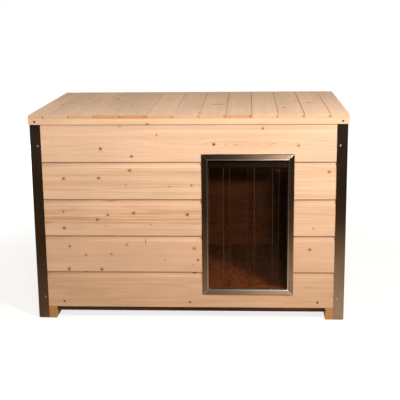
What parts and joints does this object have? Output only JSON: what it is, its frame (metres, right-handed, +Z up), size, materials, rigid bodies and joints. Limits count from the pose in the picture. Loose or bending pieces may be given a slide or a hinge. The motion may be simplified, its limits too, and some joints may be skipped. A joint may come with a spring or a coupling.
{
  "type": "dog house",
  "caption": "Boarded wooden dog house on skids, with steel corner angles, a framed doorway with a clear strip curtain and a hinged flat lid.",
  "frame": {"origin": "middle of the base, on the ground under the centre of the bounding box", "axes": "+Z up; the doorway faces -Y; +X to the right when facing the doorway"},
  "size_m": [1.108, 0.7213, 0.7408],
  "materials": {
    "cladding": "satin",
    "roof_boards": "satin",
    "timber": "matte",
    "film_plywood": "satin",
    "foam": "matte",
    "stainless": "satin",
    "fittings": "satin",
    "screws": "satin",
    "clear_pvc": "gloss"
  },
  "bodies": {
    "house": {"board_screws": "screws", "corner_angle_front_left": "stainless", "corner_angle_front_right": "stainless", "corner_angle_rear_left": "stainless", "corner_angle_rear_right": "stainless", "corner_angle_screws": "screws", "corner_posts": "timber", "curtain_clamp_bar": "fittings", "curtain_clamped_edges": "clear_pvc", "curtain_rail": "fittings", "curtain_screws": "screws", "door_frame_bottom": "stainless", "door_frame_left": "stainless", "door_frame_right": "stainless", "door_frame_screws": "screws", "door_frame_top": "stainless", "door_head": "film_plywood", "door_jamb_left": "film_plywood", "door_jamb_right": "film_plywood", "door_sill": "film_plywood", "floor_beams": "timber", "floor_panel": "film_plywood", "foam_insulation": "foam", "front_board_1": "cladding", "front_board_2_left": "cladding", "front_board_2_right": "cladding", "front_board_3_left": "cladding", "front_board_3_right": "cladding", "front_board_4_left": "cladding", "front_board_4_right": "cladding", "front_board_5": "cladding", "hinge_pins": "fittings", "hinge_wall_leaves": "fittings", "hinge_wall_screws": "screws", "left_boards": "cladding", "lining_front": "film_plywood", "lining_left": "film_plywood", "lining_rear": "film_plywood", "lining_right": "film_plywood", "rear_boards": "cladding", "right_boards": "cladding", "skid_left": "timber", "skid_right": "timber", "top_rails": "timber", "wall_studs": "timber"},
    "lid": {"lid_boards": "roof_boards", "lid_batten_front": "timber", "lid_batten_rear": "timber", "lid_batten_left": "timber", "lid_batten_right": "timber", "lid_insulation": "foam", "lid_lining": "film_plywood", "lid_screws": "screws", "hinge_lid_leaves": "fittings", "hinge_lid_screws": "screws"},
    "strip_1": {"curtain_strip_1": "clear_pvc"},
    "strip_2": {"curtain_strip_2": "clear_pvc"},
    "strip_3": {"curtain_strip_3": "clear_pvc"},
    "strip_4": {"curtain_strip_4": "clear_pvc"}
  },
  "joints": [
    {"name": "lid_hinge", "type": "hinge", "parent": "house", "child": "lid", "pos_m": [0, 0.35565, 0.70815], "axis": [-1, 0, 0], "range_deg": [0, 100]},
    {"name": "strip_1_swing", "type": "hinge", "parent": "house", "child": "strip_1", "pos_m": [0.0895, -0.32815, 0.55005], "axis": [1, 0, 0], "range_deg": [-80, 80]},
    {"name": "strip_2_swing", "type": "hinge", "parent": "house", "child": "strip_2", "pos_m": [0.176, -0.32815, 0.55005], "axis": [1, 0, 0], "range_deg": [-80, 80]},
    {"name": "strip_3_swing", "type": "hinge", "parent": "house", "child": "strip_3", "pos_m": [0.2625, -0.32815, 0.55005], "axis": [1, 0, 0], "range_deg": [-80, 80]},
    {"name": "strip_4_swing", "type": "hinge", "parent": "house", "child": "strip_4", "pos_m": [0.349, -0.32815, 0.55005], "axis": [1, 0, 0], "range_deg": [-80, 80]}
  ],
  "couplings": [
    {"joint": "strip_1_swing", "follows": "strip_2_swing", "ratio": 1},
    {"joint": "strip_3_swing", "follows": "strip_2_swing", "ratio": 1},
    {"joint": "strip_4_swing", "follows": "strip_2_swing", "ratio": 1}
  ]
}
